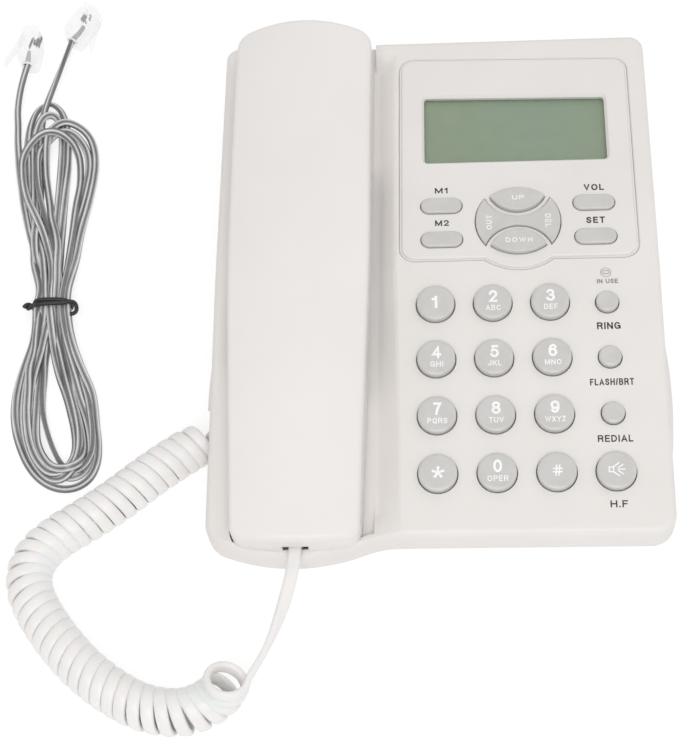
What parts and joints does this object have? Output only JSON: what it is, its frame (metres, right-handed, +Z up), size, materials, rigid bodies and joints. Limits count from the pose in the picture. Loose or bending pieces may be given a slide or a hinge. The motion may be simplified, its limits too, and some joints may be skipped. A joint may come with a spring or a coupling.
{
  "type": "corded telephone",
  "caption": "Corded desk telephone with display panel, push keys, a lift-off handset in a cradle, a curly handset cord and a tied line cord with clear plugs",
  "frame": {"origin": "on the surface the telephone stands on, under the middle of the base's outline, cords left out", "axes": "+Z up, +Y to the rear (display edge), +X to the right as the user sees it"},
  "size_m": [0.2437, 0.2943, 0.0494],
  "materials": {
    "white_case": "fine satin, off-white",
    "grey_key": "satin light grey",
    "display_glass": "clear, glossy",
    "display_green": "grey-green reflective display",
    "circuit_board": "solder mask",
    "silicone_sheet": "matt translucent",
    "foot_rubber": "matt",
    "lamp_lens": "translucent",
    "black_plastic": "moulded",
    "screw_steel": "plain",
    "weight_iron": "as cut",
    "clear_plug": "clear polycarbonate",
    "white_cord": "smooth vinyl",
    "grey_cord": "smooth vinyl",
    "tie_black": "plastic-coated wire"
  },
  "bodies": {
    "base": {"base_upper_shell": "white_case", "base_lower_shell": "white_case", "display_bezel": "white_case", "lcd_window": "display_glass", "lcd_module": "display_green", "display_board": "circuit_board", "keypad_membrane": "silicone_sheet", "keypad_board": "circuit_board", "main_board": "circuit_board", "in_use_lens": "lamp_lens", "hook_switch": "black_plastic", "loudspeaker": "black_plastic", "base_microphone": "black_plastic", "line_jack": "black_plastic", "base_cord_jack": "black_plastic", "rubber_feet": "foot_rubber", "base_screws": "screw_steel", "base_plug": "clear_plug", "handset_cord_coil": "white_cord", "base_cord_tail": "white_cord", "line_cord_hank": "grey_cord", "line_cord_lead_a": "grey_cord", "line_cord_lead_b": "grey_cord", "line_plug_a": "clear_plug", "line_plug_b": "clear_plug", "twist_tie": "tie_black"},
    "handset": {"handset_back_shell": "white_case", "handset_inner_shell": "white_case", "earpiece_receiver": "black_plastic", "handset_microphone": "black_plastic", "handset_weight": "weight_iron", "handset_jack": "black_plastic", "handset_screws": "screw_steel", "handset_plug": "clear_plug", "handset_cord_tail": "white_cord"},
    "hook": {"hook_plunger": "white_case"},
    "key_1": {"key_1": "grey_key"},
    "key_2": {"key_2": "grey_key"},
    "key_3": {"key_3": "grey_key"},
    "key_4": {"key_4": "grey_key"},
    "key_5": {"key_5": "grey_key"},
    "key_6": {"key_6": "grey_key"},
    "key_7": {"key_7": "grey_key"},
    "key_8": {"key_8": "grey_key"},
    "key_9": {"key_9": "grey_key"},
    "key_star": {"key_star": "grey_key"},
    "key_0": {"key_0": "grey_key"},
    "key_hash": {"key_hash": "grey_key"},
    "key_handsfree": {"key_handsfree": "grey_key"},
    "key_ring": {"key_ring": "grey_key"},
    "key_flash": {"key_flash": "grey_key"},
    "key_redial": {"key_redial": "grey_key"},
    "key_m1": {"key_m1": "grey_key"},
    "key_m2": {"key_m2": "grey_key"},
    "key_volume": {"key_volume": "grey_key"},
    "key_set": {"key_set": "grey_key"},
    "key_up": {"key_up": "grey_key"},
    "key_down": {"key_down": "grey_key"},
    "key_out_del": {"key_out_del": "grey_key"}
  },
  "joints": [
    {"name": "handset_lift", "type": "slide", "parent": "base", "child": "handset", "axis": [0, 0, 1], "range_m": [0, 0.06]},
    {"name": "hook_travel", "type": "slide", "parent": "base", "child": "hook", "axis": [0, 0, 1], "range_m": [0, 0.004]},
    {"name": "key_1_press", "type": "slide", "parent": "base", "child": "key_1", "axis": [0, 0.1219, -0.9925], "range_m": [0, 0.0015], "stiffness_N_per_m": 500, "springref_m": -0.001},
    {"name": "key_2_press", "type": "slide", "parent": "base", "child": "key_2", "axis": [0, 0.1219, -0.9925], "range_m": [0, 0.0015], "stiffness_N_per_m": 500, "springref_m": -0.001},
    {"name": "key_3_press", "type": "slide", "parent": "base", "child": "key_3", "axis": [0, 0.1219, -0.9925], "range_m": [0, 0.0015], "stiffness_N_per_m": 500, "springref_m": -0.001},
    {"name": "key_4_press", "type": "slide", "parent": "base", "child": "key_4", "axis": [0, 0.1219, -0.9925], "range_m": [0, 0.0015], "stiffness_N_per_m": 500, "springref_m": -0.001},
    {"name": "key_5_press", "type": "slide", "parent": "base", "child": "key_5", "axis": [0, 0.1219, -0.9925], "range_m": [0, 0.0015], "stiffness_N_per_m": 500, "springref_m": -0.001},
    {"name": "key_6_press", "type": "slide", "parent": "base", "child": "key_6", "axis": [0, 0.1219, -0.9925], "range_m": [0, 0.0015], "stiffness_N_per_m": 500, "springref_m": -0.001},
    {"name": "key_7_press", "type": "slide", "parent": "base", "child": "key_7", "axis": [0, 0.1219, -0.9925], "range_m": [0, 0.0015], "stiffness_N_per_m": 500, "springref_m": -0.001},
    {"name": "key_8_press", "type": "slide", "parent": "base", "child": "key_8", "axis": [0, 0.1219, -0.9925], "range_m": [0, 0.0015], "stiffness_N_per_m": 500, "springref_m": -0.001},
    {"name": "key_9_press", "type": "slide", "parent": "base", "child": "key_9", "axis": [0, 0.1219, -0.9925], "range_m": [0, 0.0015], "stiffness_N_per_m": 500, "springref_m": -0.001},
    {"name": "key_star_press", "type": "slide", "parent": "base", "child": "key_star", "axis": [0, 0.1219, -0.9925], "range_m": [0, 0.0015], "stiffness_N_per_m": 500, "springref_m": -0.001},
    {"name": "key_0_press", "type": "slide", "parent": "base", "child": "key_0", "axis": [0, 0.1219, -0.9925], "range_m": [0, 0.0015], "stiffness_N_per_m": 500, "springref_m": -0.001},
    {"name": "key_hash_press", "type": "slide", "parent": "base", "child": "key_hash", "axis": [0, 0.1219, -0.9925], "range_m": [0, 0.0015], "stiffness_N_per_m": 500, "springref_m": -0.001},
    {"name": "key_handsfree_press", "type": "slide", "parent": "base", "child": "key_handsfree", "axis": [0, 0.1219, -0.9925], "range_m": [0, 0.0015], "stiffness_N_per_m": 500, "springref_m": -0.001},
    {"name": "key_ring_press", "type": "slide", "parent": "base", "child": "key_ring", "axis": [0, 0.1219, -0.9925], "range_m": [0, 0.0015], "stiffness_N_per_m": 500, "springref_m": -0.001},
    {"name": "key_flash_press", "type": "slide", "parent": "base", "child": "key_flash", "axis": [0, 0.1219, -0.9925], "range_m": [0, 0.0015], "stiffness_N_per_m": 500, "springref_m": -0.001},
    {"name": "key_redial_press", "type": "slide", "parent": "base", "child": "key_redial", "axis": [0, 0.1219, -0.9925], "range_m": [0, 0.0015], "stiffness_N_per_m": 500, "springref_m": -0.001},
    {"name": "key_m1_press", "type": "slide", "parent": "base", "child": "key_m1", "axis": [0, 0.0436, -0.999], "range_m": [0, 0.001], "stiffness_N_per_m": 600, "springref_m": -0.001},
    {"name": "key_m2_press", "type": "slide", "parent": "base", "child": "key_m2", "axis": [0, 0.0436, -0.999], "range_m": [0, 0.001], "stiffness_N_per_m": 600, "springref_m": -0.001},
    {"name": "key_volume_press", "type": "slide", "parent": "base", "child": "key_volume", "axis": [0, 0.0436, -0.999], "range_m": [0, 0.001], "stiffness_N_per_m": 600, "springref_m": -0.001},
    {"name": "key_set_press", "type": "slide", "parent": "base", "child": "key_set", "axis": [0, 0.0436, -0.999], "range_m": [0, 0.001], "stiffness_N_per_m": 600, "springref_m": -0.001},
    {"name": "key_up_press", "type": "slide", "parent": "base", "child": "key_up", "axis": [0, 0.0436, -0.999], "range_m": [0, 0.001], "stiffness_N_per_m": 600, "springref_m": -0.001},
    {"name": "key_down_press", "type": "slide", "parent": "base", "child": "key_down", "axis": [0, 0.0436, -0.999], "range_m": [0, 0.001], "stiffness_N_per_m": 600, "springref_m": -0.001},
    {"name": "out_del_rock", "type": "hinge", "parent": "base", "child": "key_out_del", "pos_m": [0.02815, 0.02041, 0.02554], "axis": [0, 0.999, 0.0436], "range_deg": [-2.5, 2.5], "stiffness_Nm_per_rad": 0.15}
  ],
  "couplings": [
    {"joint": "hook_travel", "follows": "handset_lift", "ratio": 0.066}
  ]
}
